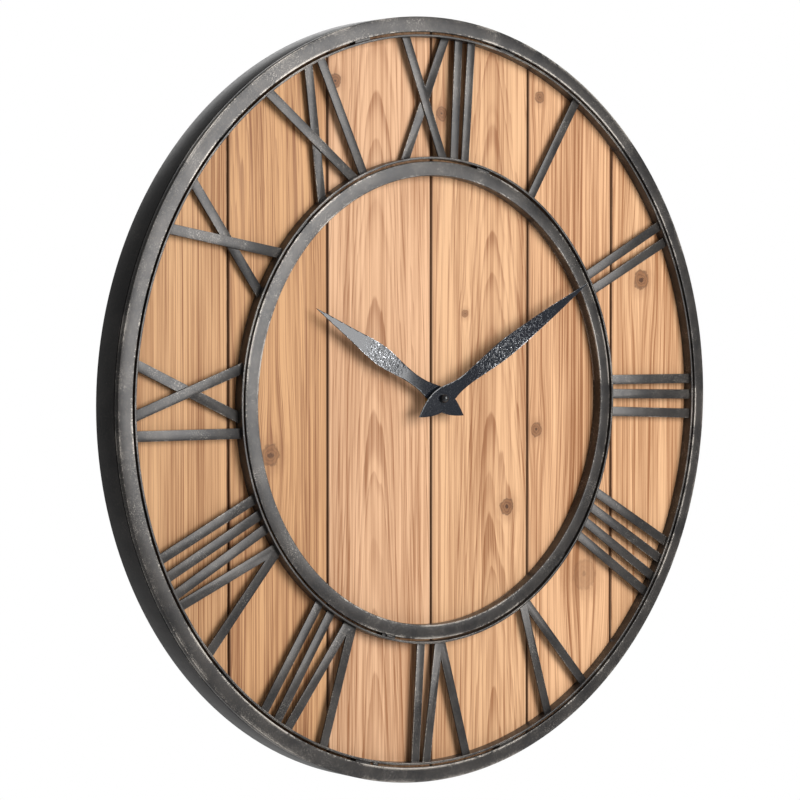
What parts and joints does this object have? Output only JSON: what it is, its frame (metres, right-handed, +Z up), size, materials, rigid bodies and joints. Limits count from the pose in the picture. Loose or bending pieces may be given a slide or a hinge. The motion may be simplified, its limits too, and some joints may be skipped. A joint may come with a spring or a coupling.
{
  "type": "wall clock",
  "caption": "Large round wall clock: rolled steel rim, welded open Roman numeral frame over a disc of vertical boards, two leaf-shaped hands and a battery movement behind.",
  "frame": {"origin": "centre of the keyhole's round entry, in the plane of the wall; the clock's centre line is 300 mm below it", "axes": "+Z up, +X to the right as the dial is looked at, +Y into the wall, so the dial faces -Y"},
  "size_m": [0.7619, 0.0505, 0.762],
  "materials": {
    "frame_steel": "distressed dark bronze paint, worn pale on the edges",
    "board_wood": "honey-stained softwood, matt",
    "pine": "bare planed softwood",
    "zinc_steel": "zinc plated",
    "black_plastic": "moulded, fine texture",
    "brass": "turned",
    "copper_wire": "enamelled winding",
    "board_green": "circuit board",
    "hand_paint": "gloss black hammered paint",
    "white_plastic": "moulded",
    "magnet": "ground",
    "battery_sleeve": "printed sleeve, plain"
  },
  "bodies": {
    "clock": {"rim_band": "frame_steel", "rim_face_ring": "frame_steel", "rim_seam_welds": "frame_steel", "rim_lugs": "frame_steel", "outer_hoop": "frame_steel", "inner_hoop": "frame_steel", "inner_face_ring": "frame_steel", "inner_lugs": "frame_steel", "outer_groove_weld": "frame_steel", "inner_groove_weld": "frame_steel", "numeral_1": "frame_steel", "numeral_2": "frame_steel", "numeral_3": "frame_steel", "numeral_4": "frame_steel", "numeral_5": "frame_steel", "numeral_6": "frame_steel", "numeral_7": "frame_steel", "numeral_8": "frame_steel", "numeral_9": "frame_steel", "numeral_10": "frame_steel", "numeral_11": "frame_steel", "numeral_12": "frame_steel", "board_1": "board_wood", "board_2": "board_wood", "board_3": "board_wood", "board_4": "board_wood", "board_5": "board_wood", "board_6": "board_wood", "lower_batten": "pine", "upper_batten": "pine", "batten_screws": "zinc_steel", "rim_clips": "frame_steel", "clip_screws": "zinc_steel", "hanger_block": "pine", "keyhole_plate": "zinc_steel", "hanger_screws": "zinc_steel", "movement_case": "black_plastic", "movement_cover": "black_plastic", "positive_contact": "zinc_steel", "negative_contact": "zinc_steel", "threaded_bushing": "brass", "bushing_washer": "brass", "bushing_nut": "brass", "stator": "zinc_steel", "coil": "copper_wire", "circuit_board": "board_green"},
    "minute": {"minute_wheel": "white_plastic", "minute_hand": "hand_paint", "cap_nut": "hand_paint"},
    "hour": {"hour_wheel": "white_plastic", "hour_hand": "hand_paint"},
    "intermediate": {"intermediate_wheel": "white_plastic"},
    "third": {"third_wheel": "white_plastic"},
    "seconds": {"seconds_wheel": "white_plastic"},
    "rotor": {"rotor": "magnet"},
    "knob": {"setting_knob": "black_plastic"},
    "battery": {"battery": "battery_sleeve"}
  },
  "joints": [
    {"name": "minute_turn", "type": "hinge", "parent": "clock", "child": "minute", "pos_m": [0, 0, -0.2975], "axis": [0, 1, 0], "continuous": true},
    {"name": "hour_turn", "type": "hinge", "parent": "clock", "child": "hour", "pos_m": [0, 0, -0.2975], "axis": [0, 1, 0], "continuous": true},
    {"name": "intermediate_turn", "type": "hinge", "parent": "clock", "child": "intermediate", "pos_m": [0.0096, 0, -0.2975], "axis": [0, 1, 0], "continuous": true},
    {"name": "third_turn", "type": "hinge", "parent": "clock", "child": "third", "pos_m": [-0.00935, 0, -0.2921], "axis": [0, 1, 0], "continuous": true},
    {"name": "seconds_turn", "type": "hinge", "parent": "clock", "child": "seconds", "pos_m": [-0.0051, 0, -0.28474], "axis": [0, 1, 0], "continuous": true},
    {"name": "rotor_turn", "type": "hinge", "parent": "clock", "child": "rotor", "pos_m": [0.003, 0, -0.2775], "axis": [0, 1, 0], "continuous": true},
    {"name": "knob_turn", "type": "hinge", "parent": "clock", "child": "knob", "pos_m": [0.0192, 0, -0.2975], "axis": [0, 1, 0], "continuous": true},
    {"name": "battery_slide", "type": "slide", "parent": "clock", "child": "battery", "axis": [0, 1, 0], "range_m": [0, 0.02]}
  ],
  "couplings": [
    {"joint": "hour_turn", "follows": "minute_turn", "ratio": 0.083333},
    {"joint": "intermediate_turn", "follows": "minute_turn", "ratio": -0.33333},
    {"joint": "third_turn", "follows": "minute_turn", "ratio": -8},
    {"joint": "seconds_turn", "follows": "minute_turn", "ratio": 60},
    {"joint": "knob_turn", "follows": "minute_turn", "ratio": 1}
  ]
}
